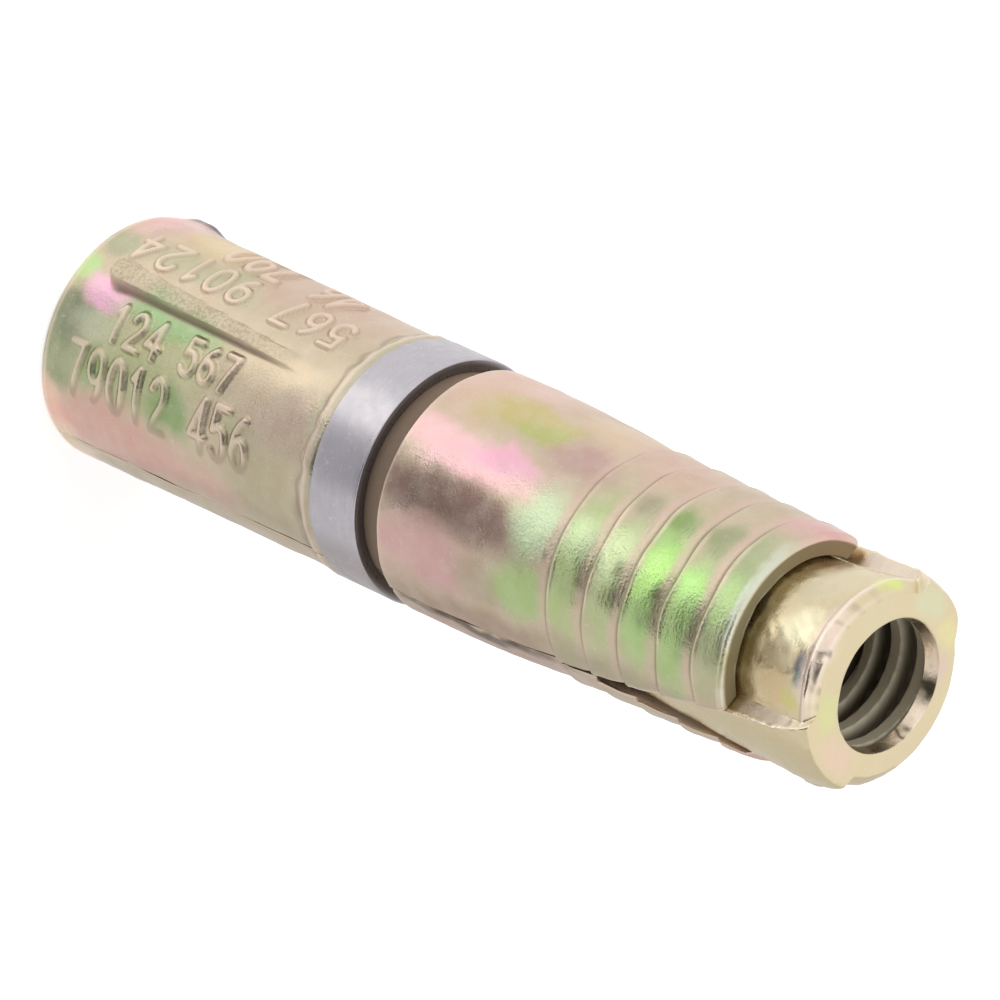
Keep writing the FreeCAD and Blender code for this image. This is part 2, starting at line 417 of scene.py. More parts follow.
def rounded(radius, height, size, up, turns):
    """Points of a round edge about a centre at a radius and height, with up as 1 or -1."""
    return [(radius + size * math.cos(turn), height + up * size * math.sin(turn)) for turn in turns]


def shell_section():
    """Rows of radius and height round a half shell's section, and the part that each is on."""
    rear, front = outer_heights()
    top = SHELL_HIGH
    parts = {
        "edge": [(BORE_RADIUS + BORE_BEVEL, 0), (REAR_RADIUS - 0.5, 0)]
        + rounded(REAR_RADIUS - REAR_ROUND, REAR_ROUND, REAR_ROUND, -1,
                  [math.pi / 2 - turn for turn in (0, 0.5, 1.0)]),
        "rear": list(zip(rear_radius_at(rear), rear)),
        "groove": [(GROOVE_RADIUS, height) for height in spread((GROOVE_LOW, GROOVE_HIGH, 0.25))],
        "front": list(zip(front_radius_at(front), front)),
        "nose": rounded(NOSE_RADIUS - NOSE_ROUND, top - NOSE_ROUND, NOSE_ROUND, 1,
                        (0.2, 0.5, 0.8, 1.1, 1.35)),
        "inside": [(NOSE_RADIUS - NOSE_ROUND - 0.03, top), (3.82, top - 0.01), (3.66, top - 0.01),
                   (POCKET_RADIUS + 0.05, top - 0.02), (POCKET_RADIUS, top - 0.1),
                   *((POCKET_RADIUS, height) for height in (33, 31, POCKET_LOW)),
                   *((BORE_RADIUS, height) for height in (POCKET_LOW, 28, 20, 10, BORE_BEVEL))],
    }
    kind = np.repeat(list(parts), [len(rows) for rows in parts.values()])
    return np.array([row for rows in parts.values() for row in rows]), kind


def shell_grid():
    """Radius, angle and height of each point of a half shell, its seams' angle and its parts."""
    section, kind = shell_section()
    radius, height = section[:, :1], section[:, 1:]
    closed = SEAM_CLOSED * (1 - smooth(height, NOTCH_LOW - SEAM_OPENING, NOTCH_LOW))
    edge = SEAM_HALF - closed + np.maximum(0, height - NOTCH_LOW) * NOTCH_SLOPE
    seam_angle = np.degrees(np.arccos(edge / radius))
    middle = spread((-SIDE_ANGLE, SIDE_ANGLE, COLUMN_STEP)) + 0 * seam_angle
    side = (seam_angle - SIDE_ANGLE) * spread((0, 0.9, 0.075), (0.9, 1, 0.03))[1:]
    angle = np.concatenate([-SIDE_ANGLE - side[:, ::-1], middle, SIDE_ANGLE + side], axis=1)
    on = {part: np.broadcast_to((kind == part)[:, None], angle.shape) for part in np.unique(kind)}
    return radius + 0 * angle, angle, height + 0 * angle, seam_angle, on


def tooth_marks(on_front, height):
    """Crest and valley of each tooth, and the share of the way along it."""
    share = (height - TOOTH_LOW) / TOOTH_PITCH
    share = share - np.floor(share)
    toothed = on_front & (height > TOOTH_LOW - 0.2)
    crest = np.where(toothed, bump(share, 0.09, 0.05), 0)
    valley = np.where(toothed, bump((share + 0.5) % 1, 0.49, 0.035), 0)
    return crest, valley, share


def half_shell(node, heading, seed, flash=0.0):
    """One half shell, as a section swept from seam to seam with relief on it.

    The flash is how far a sliver of metal beside one seam stands out at the rear end.
    """
    radius, angle, height, seam_angle, on = shell_grid()
    place = cylinder(radius, angle, height)
    on_rear, on_front = on["rear"], on["front"]
    outside = on_rear | on_front | on["nose"]

    # Crests wander a little, so the front rows are read at shifted heights
    wander = TOOTH_WANDER * ripple(place, 2.6, seed) * smooth(height, *WANDER_START)
    shifted = np.clip(height + wander, GROOVE_HIGH, None)
    radius = np.where(on_front, front_radius_at(shifted), radius)
    crest, valley, share = tooth_marks(on_front, shifted)
    radius = radius + CREST_RISE * crest

    numerals = np.where(on_rear, numeral_relief(angle, height), 0)
    rib, rib_back, rib_shade = (np.where(on_rear, part, 0) for part in rib_relief(angle, height))
    lumps = 0.012 * ripple(place, 2.2, seed + 2) + 0.005 * ripple(place, 0.7, seed + 3)
    ragged = 0.03 * ripple(place, 0.9, seed + 4) * bump(height, LIP_LOW - 0.1, 0.25)
    seam_distance = np.radians(seam_angle - np.abs(angle)) * radius
    rounding = SEAM_ROUND * (1 - smooth(seam_distance, 0, SEAM_ROUND_WIDTH))
    sliver = bump(angle, FLASH_ANGLE, FLASH_WIDTH) * (1 - smooth(height, *FLASH_END))
    radius = radius + np.where(outside, lumps - rounding, 0)
    radius = radius + np.where(on_rear, ragged + flash * sliver, 0)
    radius = radius + RIB_ROUGHNESS * ripple(place, 0.42, seed + 1) * rib_back
    radius = radius + np.maximum(rib, NUMERAL_HEIGHT * numerals)
    mouth = on["inside"] & (height > SHELL_HIGH - POCKET_EDGE_HEIGHT) & (radius < POCKET_EDGE)
    chips = np.where(mouth, np.maximum(0, ripple(place, 1.1, seed + 5) - 0.2), 0)
    radius = radius + CHIP_DEPTH * chips

    # Stains along the teeth: a light one before each crest, and a dark smear low on the side with a
    # painted dark reflection in it
    patchy = np.clip(0.55 + 0.45 * ripple(place, 1.3, seed + 7), 0, 1)
    before = on_front & (shifted > TOOTH_LOW - 0.5)
    blush = np.where(before, bump(share, 0.87, 0.11), 0)
    blush = blush * (0.45 + 0.55 * patchy) * (1 - 0.6 * smooth(angle, 55, 75))
    low_side = bump(angle + 7 * ripple(place, 1.6, seed + 8), 33, 9)
    smear = np.where(before, bump(share, 0.7, 0.15), 0) * low_side * patchy
    grit = smooth(angle, 2, 16) * (1 - smooth(angle, 36, 50)) * outside

    # Bare metal with painted highlights on the edges, crests, numerals and lip, and dirt with painted
    # shade in the corners, creases, groove and bore
    rim = np.where(on_front, bump(height, GROOVE_HIGH + 0.08, 0.09), 0)
    lip_edge = np.where(on_rear, bump(height, LIP_LOW + 0.08, 0.1), 0)
    foot_edge = np.where(on_rear, 1 - smooth(height, REAR_ROUND, 2 * REAR_ROUND), 0)
    notch_edge = bump(seam_distance, 0.03, 0.09) * smooth(height, NOTCH_LOW - 0.5, NOTCH_LOW + 1) * outside
    inner_edge = np.clip(1.4 * chips, 0, 1)
    # Painted highlight on the crests, strongest on the side that faces the light
    lit = 0.25 + 0.75 * smooth(angle, -30, -8) * (1 - smooth(angle, 46, 66))
    worn = np.maximum.reduce([crest * patchy * lit, 0.6 * foot_edge, 0.7 * numerals ** 2, 0.7 * rim,
                              0.8 * lip_edge, 0.8 * notch_edge, 0.4 * patchy * on["nose"],
                              0.5 * inner_edge])
    # Painted shade, with some dirt, at the lip's foot, round the numerals' feet, in the teeth's valleys,
    # under the rib, in the groove and inside the shell
    lip_height = height + 0.1 * ripple(place, 1.0, seed + 6)
    lip_foot = np.where(on_rear, bump(lip_height, LIP_LOW - LIP_SLOPE, 0.1), 0)
    numeral_foot = 4 * numerals * (1 - numerals)
    grime = np.maximum.reduce([0.55 * valley, 0.6 * numeral_foot * (1 - numerals), 0.4 * lip_foot,
                               0.85 * rib_shade, 1.0 * on["groove"],
                               0.9 * on["inside"] * (1 - 0.8 * inner_edge)])
    piece = make_mesh(node + "_finish", cylinder(radius, angle + heading, height),
                      swept_faces(*angle.shape), worn=worn, grime=grime, rough=rib_back,
                      blush=blush, smear=smear, grit=grit)
    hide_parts(node)
    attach(piece, "root")
    return piece


# Retaining band

def band_section():
    """Rows of radius and height round the band's section, with its outer edges rounded."""
    low = rounded(BAND_RADIUS - BAND_ROUND, BAND_LOW + BAND_ROUND, BAND_ROUND, 1,
                  np.radians(np.linspace(-90, 0, 5)))
    high = rounded(BAND_RADIUS - BAND_ROUND, BAND_HIGH - BAND_ROUND, BAND_ROUND, 1,
                   np.radians(np.linspace(0, 90, 5)))
    side = [(BAND_RADIUS, height) for height in spread((BAND_LOW + 0.3, BAND_HIGH - 0.3, 0.2))]
    back = [(BAND_INNER + 0.25, BAND_HIGH), (BAND_INNER, BAND_HIGH), (BAND_INNER, BAND_LOW),
            (BAND_INNER + 0.25, BAND_LOW)]
    return np.array(low + side + high + back)


def band():
    """Flat band bent round the groove, with a butt gap behind."""
    section = band_section()
    angle = np.linspace(BAND_GAP_HALF - 180, 180 - BAND_GAP_HALF, 240)[None, :] + 0 * section[:, :1]
    radius = section[:, :1] + 0 * angle
    height = section[:, 1:] + 0 * angle
    place = cylinder(radius, angle, height)
    radius = radius + 0.006 * ripple(place, 2.5, 41) * (radius > BAND_INNER + 0.1)
    # Painted shade, with some dirt, on the band's end faces and rounded edges
    piece = make_mesh("retaining_band_finish", cylinder(radius, angle, height),
                      swept_faces(*angle.shape), sharp=50,
                      grime=smooth(BAND_RADIUS - radius, 0.03, 0.1))
    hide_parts("retaining_band")
    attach(piece, "root")
    return piece


# Expander nut

def wing_radius_at(height):
    """Outer radius of the wings, which curl in at the nut's face."""
    wall = np.interp(height, [NUT_LOW, NUT_HIGH - WING_FULL, NUT_HIGH - CURL_HEIGHT],
                     [WING_ROOT_RADIUS, WING_RADIUS, WING_RADIUS])
    curl = np.clip((height - NUT_HIGH + CURL_HEIGHT) / CURL_HEIGHT, 0, 1)
    return wall - WING_CURL * (1 - np.sqrt(1 - 0.95 * curl ** 2))


def rim_height_at(angle):
    """Height at which the nut's round body turns into its rim."""
    return NUT_HIGH - RIM_HEIGHT + RIM_LIFT * smooth(angle, 15, 50)


def cone_radius_at(angle, height):
    """Outer radius of the nut's round body."""
    rim = rim_height_at(angle)
    foot = NUT_HIGH - RIM_HEIGHT - (HEAD_RADIUS - SPIGOT_RADIUS) / math.tan(math.radians(CONE_ANGLE))
    body = np.interp(height, [NUT_LOW, NUT_LOW + SPIGOT_BEVEL, foot, NUT_HIGH],
                     [SPIGOT_RADIUS - SPIGOT_BEVEL, SPIGOT_RADIUS, SPIGOT_RADIUS, HEAD_RADIUS + 0.07])
    fall = RIM_FALL * (1 - 0.35 * bump(angle, 8, 26))
    share = np.clip((height - rim) / (NUT_HIGH - rim), 0, 1)
    return np.where(height > rim, HEAD_RADIUS - fall * share ** 1.4, np.minimum(body, HEAD_RADIUS))


def thread_radius(angle, height):
    """Right-hand internal thread with broad crests, below a bevelled mouth.

    Gives the radius, how far a point is into the thread's root, and its share in the mouth.
    """
    turn = ((height - CREST_HEIGHT) / THREAD_PITCH - (angle - CREST_ANGLE) / 360) % 1
    root = 1 - smooth(np.abs(turn - 0.5), 0.12, 0.33)
    down = NUT_HIGH - height
    mouth = 1 - smooth(down, MOUTH_DEPTH, MOUTH_DEPTH + 0.12)
    edge = MOUTH_RADIUS + MOUTH_SKEW * np.cos(np.radians(angle - MOUTH_ANGLE))
    bevel = edge - (edge - THROAT_RADIUS) * np.clip(down / MOUTH_DEPTH, 0, 1)
    thread = THREAD_MINOR + (THREAD_MAJOR - THREAD_MINOR) * root
    return thread + (bevel - thread) * mouth, root * (1 - mouth), mouth


def nut_side(angle, height):
    """Radius of the nut's round side with its wings, and the fields there."""
    place = cylinder(NOISE_RADIUS + 0 * height, angle, height)
    own = np.radians(angle + WING_TURN)
    half = SEAM_HALF - WING_CLEARANCE + (height - NOTCH_LOW) * NOTCH_SLOPE
    across = half / np.maximum(np.abs(np.cos(own)), 1e-3)
    wall = wing_radius_at(height)
    cut = smooth(-angle, 96, 120) * smooth(height, NUT_HIGH - WING_CUT_HEIGHT, NUT_HIGH)
    wall = wall - WING_CUT * cut
    wing = -BLEND * np.logaddexp(-wall / BLEND, -np.minimum(across, FAR_AWAY) / BLEND)
    body = cone_radius_at(angle, height)
    radius = BLEND * np.logaddexp(wing / BLEND, body / BLEND)

    # Beads of metal at the rim and the wings' edges, and the wings' rough flanks
    plain = 1 - smooth(wing - body, -0.02, 0.25)
    rim_height = rim_height_at(angle)
    rim = bump(height, rim_height, 0.1) * plain
    inner_rim = bump(height, NUT_HIGH - 0.16, 0.08) * plain * bump(angle, 20, 40)
    rolled = bump(angle, ROLL_ANGLE, 9) * bump(height, NUT_HIGH - ROLL_DEPTH, 0.22)
    wing_edge = bump(across - wing_radius_at(height), 0.0, 0.12) * smooth(height, *EDGE_START)
    flank = (smooth(wall - across, 0.0, 0.15) * smooth(height, *FLANK_START)
             * (1 - smooth(height, *FLANK_END)) * smooth(across - body, -0.1, 0.1))
    burr = np.maximum(0, ripple(place, 0.8, NUT_SEED + 1) + 0.3)
    radius = radius + FLANK_ROUGHNESS * flank * ripple(place, 0.5, NUT_SEED + 6)
    radius = radius + RIM_BEAD * rim * (0.4 + 0.6 * burr) + EDGE_BURR * wing_edge * burr
    radius = radius + INNER_BEAD * inner_rim * burr
    radius = radius + ROLL_RISE * rolled * (0.7 + 0.3 * burr)
    radius = radius + 0.012 * ripple(place, 1.4, NUT_SEED + 2) + 0.004 * ripple(place, 0.4, NUT_SEED + 3)

    bevel = smooth(height, rim_height, rim_height + 0.12) * plain * bump(angle, 22, 36)
    streaks = np.clip(1.2 * ripple(place * (1, 1, 0.4), 0.5, NUT_SEED + 7), 0, 1)
    rim_foot = bump(height, rim_height - 0.16, 0.05) * bump(angle, 30, 42) * plain
    worn = np.maximum.reduce([rim, wing_edge * (0.5 + 0.5 * burr), 0.9 * inner_rim, 0.9 * flank])
    smudge = np.maximum(0.6 * bevel * streaks * (1 - rim) * (1 - inner_rim), 0.5 * rim_foot)
    return radius, {"worn": worn, "smudge": smudge, "matte": 0.8 * flank * (0.7 + 0.3 * burr)}


def nut_face(edge, mouth, angles):
    """Rings of points on the nut's face, from its outer edge to the bore's mouth."""
    rings = []
    for share in (0.03, 0.08, 0.15, 0.26, 0.38, 0.5, 0.62, 0.74, 0.86, 0.95, 0.985):
        ring = edge + (mouth - edge) * share
        fall = 0.04 * max(0, 1 - share / 0.15) ** 2 + 0.03 * max(0, share - 0.95) / 0.05
        lumps = 0.012 * ripple(cylinder(ring, angles, 0 * angles), 1.3, NUT_SEED + 4)
        rings.append(cylinder(ring, angles, NUT_HIGH - fall + lumps * smooth(share, 0.02, 0.2)))
    return np.array(rings)


def nut_bore(angle, height):
    """Radius of the threaded bore, and the fields there."""
    radius, root, mouth = thread_radius(angle, height)
    # Painted shade in the thread's roots, darker deeper in the bore
    depth = smooth(NUT_HIGH - height, 0.6, 2.4)
    ragged = 5 * ripple(cylinder(radius, angle, height), 0.5, NUT_SEED + 5)
    stains = sum(bump((angle + ragged - turn + 180) % 360 - 180, 0, width)
                 for turn, width in MOUTH_STAINS)
    return radius, {"worn": 0.8 * mouth, "bore": 1 - mouth, "smudge": mouth * np.clip(stains, 0, 1),
                    "grime": (1 - mouth) * smooth(root, 0.1, 0.75) * (0.6 + 0.4 * depth)}


def nut():
    """Round tapered body, two wings and a threaded bore."""
    angles = spread((-180, -120, COLUMN_ANGLE), (-120, -60, WING_COLUMN_ANGLE),
                    (-60, 60, COLUMN_ANGLE), (60, 120, WING_COLUMN_ANGLE),
                    (120, 180, COLUMN_ANGLE))[:-1]
    side_heights = spread((NUT_LOW, SIDE_SEEN, 0.4), (SIDE_SEEN, NUT_HIGH - RIM_SEEN, 0.1),
                          (NUT_HIGH - RIM_SEEN, NUT_HIGH - 0.04, 0.045))
    bore_heights = spread((NUT_LOW + 0.3, THREAD_SEEN, 0.2),
                          (THREAD_SEEN, NUT_HIGH - 0.05, 0.05))[::-1]
    side_angle, side_height = np.meshgrid(angles, side_heights)
    bore_angle, bore_height = np.meshgrid(angles, bore_heights)
    side, side_fields = nut_side(side_angle, side_height)
    bore, bore_fields = nut_bore(bore_angle, bore_height)
    face = nut_face(side[-1], bore[0], angles)
    close = cylinder(0 * angles + THREAD_MAJOR - 0.1, angles, 0 * angles + NUT_LOW)
    points = np.concatenate([cylinder(side, side_angle, side_height), face,
                             cylinder(bore, bore_angle, bore_height), close[None]])

    # Rows run up the side, in over the face and down the bore to its end
    fields = {name: np.zeros(points.shape[:2]) for name in ("worn", "grime", "smudge", "bore", "matte")}
    for first, given in ((0, side_fields), (len(side) + len(face), bore_fields)):
        for name, values in given.items():
            fields[name][first:first + len(values)] = values
    fields["bore"][-1] = 1
    faces = grid_faces(*points.shape[:2], wrap_rows=True, wrap_columns=True)
    piece = make_mesh("expander_nut_finish", points, faces, sharp=42, **fields)
    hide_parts("expander_nut")
    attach(piece, "root")
    return piece


# Materials

def colour(red, green, blue):
    """Linear colour from sRGB values of 0 to 255."""
    def channel(part):
        part /= 255
        return part / 12.92 if part <= 0.04045 else ((part + 0.055) / 1.055) ** 2.4
    return (channel(red), channel(green), channel(blue), 1.0)


class Finish:
    """A node material that is built up step by step, in object coordinates."""

    def __init__(self, name, heading=0.0):
        self.data = bpy.data.materials.new(name)
        self.data.use_nodes = True
        self.tree = self.data.node_tree
        self.shader = self.tree.nodes["Principled BSDF"]
        place = self.node("ShaderNodeTexCoord").outputs["Object"]
        turned = self.node("ShaderNodeMapping", {"Vector": place})
        turned.inputs["Rotation"].default_value[2] = math.radians(-heading)
        self.place = turned.outputs["Vector"]
        self.height = self.node("ShaderNodeSeparateXYZ", {"Vector": self.place}).outputs["Z"]

    def node(self, kind, inputs=None, **settings):
        """Add a node; an input is a value or another node's output."""
        node = self.tree.nodes.new(kind)
        for name, setting in settings.items():
            setattr(node, name, setting)
        for name, given in (inputs or {}).items():
            if isinstance(given, bpy.types.NodeSocket):
                self.tree.links.new(given, node.inputs[name])
            else:
                node.inputs[name].default_value = given
        return node

    def noise(self, size, detail, stretch=None):
        """Noise with features of about one size in millimetres."""
        place = self.place
        if stretch:
            place = self.node("ShaderNodeMapping", {"Vector": place, "Scale": stretch}).outputs[0]
        return self.node("ShaderNodeTexNoise", {
            "Vector": place, "Scale": 1 / (size * MM), "Detail": detail}).outputs["Fac"]

    def between(self, value, low, high, to_low=0.0, to_high=1.0):
        """Smooth step of a value onto a new range."""
        return self.node("ShaderNodeMapRange", {
            "Value": value, "From Min": low, "From Max": high,
            "To Min": to_low, "To Max": to_high}, interpolation_type="SMOOTHSTEP").outputs[0]

    def maths(self, operation, first, second):
        """One step of arithmetic."""
        return self.node("ShaderNodeMath", {0: first, 1: second}, operation=operation).outputs[0]

    def mix(self, share, first, second):
        """Mix of two colours."""
        return self.node("ShaderNodeMix", {0: share, 6: first, 7: second},
                         data_type="RGBA").outputs[2]

    def field(self, name):
        """Field that a mesh keeps at its vertices."""
        return self.node("ShaderNodeAttribute", attribute_name=name).outputs["Fac"]

    def coat(self, base, share, strength, over):
        """Colour laid over the base where a share says so, up to a strength."""
        return self.mix(self.maths("MULTIPLY", share, strength), base, over)

    def wavering(self, size, detail, far):
        """Coordinates shifted by noise of about one size, by up to half of far, in millimetres."""
        drift = self.node("ShaderNodeTexNoise", {
            "Vector": self.place, "Scale": 1 / (size * MM), "Detail": detail}).outputs["Color"]
        centred = self.node("ShaderNodeVectorMath", {0: drift, 1: (0.5, 0.5, 0.5)},
                            operation="SUBTRACT").outputs[0]
        shift = self.node("ShaderNodeVectorMath", {0: centred, "Scale": far * MM},
                          operation="SCALE").outputs[0]
        return self.node("ShaderNodeVectorMath", {0: self.place, 1: shift},
                         operation="ADD").outputs[0]

    def patch(self, base, place, radius, patch, depth=3.0):
        """Soft patch of colour about a place on the wall, as one row of the tables below."""
        height, angle, half_height, half_angle, tint, strength = patch
        turn = math.radians(angle)
        spot = self.node("ShaderNodeMapping", {"Vector": place}, vector_type="TEXTURE")
        spot.inputs["Location"].default_value = (
            radius * math.cos(turn) * MM, radius * math.sin(turn) * MM, height * MM)
        spot.inputs["Rotation"].default_value = (0, 0, turn)
        spot.inputs["Scale"].default_value = (
            depth * MM, math.radians(half_angle) * radius * MM, half_height * MM)
        away = self.node("ShaderNodeVectorMath", {0: spot.outputs[0]}, operation="LENGTH")
        share = self.between(away.outputs["Value"], PATCH_END, PATCH_FULL, 0.0, strength)
        return self.mix(share, base, colour(*tint))

    def relief(self, *layers):
        """Bumps on top of each other, each (height, strength, distance in mm)."""
        normal = None
        for height, strength, distance in layers:
            inputs = {"Height": height, "Strength": strength, "Distance": distance * MM}
            if normal:
                inputs["Normal"] = normal
            normal = self.node("ShaderNodeBump", inputs).outputs[0]
        self.set("Normal", normal)

    def set(self, name, given):
        """Set or link one of the shader's inputs."""
        if isinstance(given, bpy.types.NodeSocket):
            self.tree.links.new(given, self.shader.inputs[name])
        else:
            self.shader.inputs[name].default_value = given


# Colours of the finishes
SHELL_TAN = colour(212, 194, 168)
SHELL_CLOUD = colour(232, 226, 206)
SHELL_SPECK = colour(250, 240, 220)
SHELL_GRAIN = colour(134, 116, 98)
SHELL_BARE_AND_HIGHLIGHT = colour(248, 222, 204)
SHELL_DIRT_AND_SHADE = colour(154, 131, 112)
NOSE_DIRT_AND_SHADE = colour(134, 118, 82)
RIB_PIT = colour(172, 157, 132)
RIB_BACK = colour(208, 197, 172)
TOOTH_BLUSH = colour(224, 196, 180)
TOOTH_SMEAR_AND_DARK_REFLECTION = colour(98, 88, 74)
BAND_DARK = colour(188, 183, 188)
BAND_LIGHT = colour(209, 204, 208)
BAND_CLOUD = colour(182, 178, 189)
BAND_SPECK = colour(242, 236, 232)
BAND_DIRT_AND_SHADE = colour(98, 90, 86)
NUT_GOLD = colour(228, 211, 174)
NUT_CLOUD = colour(220, 218, 178)
NUT_BARE_AND_HIGHLIGHT = colour(255, 238, 222)
NUT_SMUDGE = colour(120, 112, 92)
THREAD_STEEL = colour(190, 181, 158)
THREAD_DIRT_AND_SHADE = colour(84, 72, 56)

# A patch has its full strength up to one share of its half sizes, and ends at another
PATCH_FULL = 0.45
PATCH_END = 1.4
SHELL_PATCH_RADIUS = 4.6
NUT_PATCH_RADIUS = 3.7
FACE_PATCH_DEPTH = 0.3

# Patches of the shells' iridescent plating, with painted highlights, painted dark reflection bands and a
# painted shadow among them, seen with the shell's own rib at 0: height, angle, half height, half angle,
# colour, strength
SHELL_PATCHES = [
    # Rear section, above the rib
    (1.0, -52, 1.4, 26, (226, 184, 182), 0.8),
    (3.6, -46, 1.8, 17, (236, 210, 160), 0.85),
    (10.0, -45, 4.5, 26, (216, 186, 166), 0.8),
    (0.8, -20, 1.4, 9, (170, 176, 144), 0.75),
    (5.4, -21, 3.0, 9, (194, 198, 158), 0.5),
    # Rear section, at the edge and round the rib's head
    (0.3, 2, 0.9, 10, (196, 226, 160), 0.9),
    (1.0, 24, 1.1, 12, (130, 142, 114), 0.85),
    (0.6, 44, 1.2, 16, (124, 138, 112), 0.8),
    (2.1, 9, 1.15, 9, (255, 196, 224), 0.95),
    (2.4, 25, 1.2, 9, (210, 214, 192), 0.7),
    # Round the numerals
    (5.6, 9, 3.0, 8, (160, 196, 140), 0.85),
    (5.5, 26, 3.6, 14, (200, 208, 152), 0.6),
    (4.6, 45, 4.2, 15, (180, 190, 142), 0.75),
    (6.9, 47, 1.0, 13, (142, 172, 114), 0.8),
    (2.8, 44, 0.7, 12, (150, 178, 120), 0.65),
    (10.6, 47, 1.0, 10, (160, 180, 128), 0.5),
    # Rear section, low down
    (3.4, 74, 5.4, 17, (222, 176, 164), 0.9),
    (9.4, 78, 2.4, 10, (220, 178, 164), 0.6),
    (12.0, 62, 2.3, 30, (190, 180, 150), 0.8),
    # Painted highlight, and beside it a weak painted dark reflection band
    (11.8, 8, 2.0, 10, (238, 218, 186), 0.8),
    (12.4, 30, 1.7, 14, (206, 184, 166), 0.8),
    # Lip beside the band
    (14.4, 0, 0.42, 180, (196, 190, 166), 0.75),
    (14.3, 74, 0.5, 28, (172, 162, 142), 0.7),
    # Front section
    (19.6, -45, 3.6, 34, (232, 196, 180), 0.9),
    (22.2, -24, 2.8, 13, (212, 196, 136), 0.95),
    (23.2, -17, 1.2, 7, (192, 198, 128), 0.8),
    (25.4, -18, 1.3, 14, (204, 166, 162), 0.8),
    (25.5, -48, 1.8, 18, (230, 200, 170), 0.8),
    # Painted pink highlight
    (21.2, 5, 3.9, 11, (252, 204, 206), 0.95),
    (22.9, 1, 1.7, 6, (252, 190, 212), 0.85),
    # Painted dark reflection band
    (21.3, 33, 4.4, 14, (174, 144, 136), 0.8),
    (21.0, 26, 4.3, 12, (138, 111, 104), 0.78),
    (20.6, 58, 2.9, 17, (218, 174, 172), 0.9),
    (23.4, 60, 1.5, 13, (186, 172, 146), 0.8),
    (22.5, 86, 5.0, 12, (186, 156, 136), 0.8),
    # Painted shadow on the far shell's low strip beside the seam
    (22.0, -77, 6.0, 12, (196, 158, 142), 0.85),
    (22.6, -87, 4.2, 4.5, (96, 76, 62), 0.9),
    (25.4, 22, 1.2, 18, (208, 230, 186), 0.9),
    (25.4, 55, 1.3, 15, (178, 204, 138), 0.9),
    # Teeth
    (27.6, 34, 1.0, 42, (186, 208, 144), 0.9),
    # Painted highlight
    (27.6, 20, 0.9, 12, (214, 236, 184), 0.8),
    (29.4, 34, 0.9, 38, (190, 206, 150), 0.85),
    # Painted highlight
    (29.4, 20, 0.8, 14, (216, 234, 180), 0.8),
    (29.2, -10, 0.9, 9, (176, 170, 142), 0.7),
    (31.2, 26, 0.95, 40, (176, 214, 134), 0.95),
    # Painted highlight
    (31.2, 20, 0.8, 12, (196, 242, 146), 0.9),
    (31.2, -10, 0.9, 10, (150, 176, 110), 0.85),
    (33.0, 34, 0.95, 38, (178, 210, 138), 0.9),
    # Painted highlight
    (33.0, 22, 0.8, 14, (192, 240, 150), 0.9),
    (33.0, -10, 0.9, 10, (164, 172, 128), 0.8),
    (34.7, 16, 0.8, 44, (176, 192, 144), 0.85),
    # Painted highlight
    (34.6, 18, 0.6, 14, (192, 222, 152), 0.8),
    (35.4, 22, 0.3, 44, (220, 230, 210), 0.9),
    (34.6, -55, 1.0, 20, (228, 176, 176), 0.85),
    (28.6, -46, 2.4, 20, (220, 186, 168), 0.8),
    (32.0, -56, 2.0, 24, (204, 186, 160), 0.8),
    (31.0, 84, 4.6, 15, (190, 180, 150), 0.8),
]

# Dark blue patch on the flash
FLASH_PATCH = (1.1, -72, 1.5, 8, (40, 48, 76), 0.95)


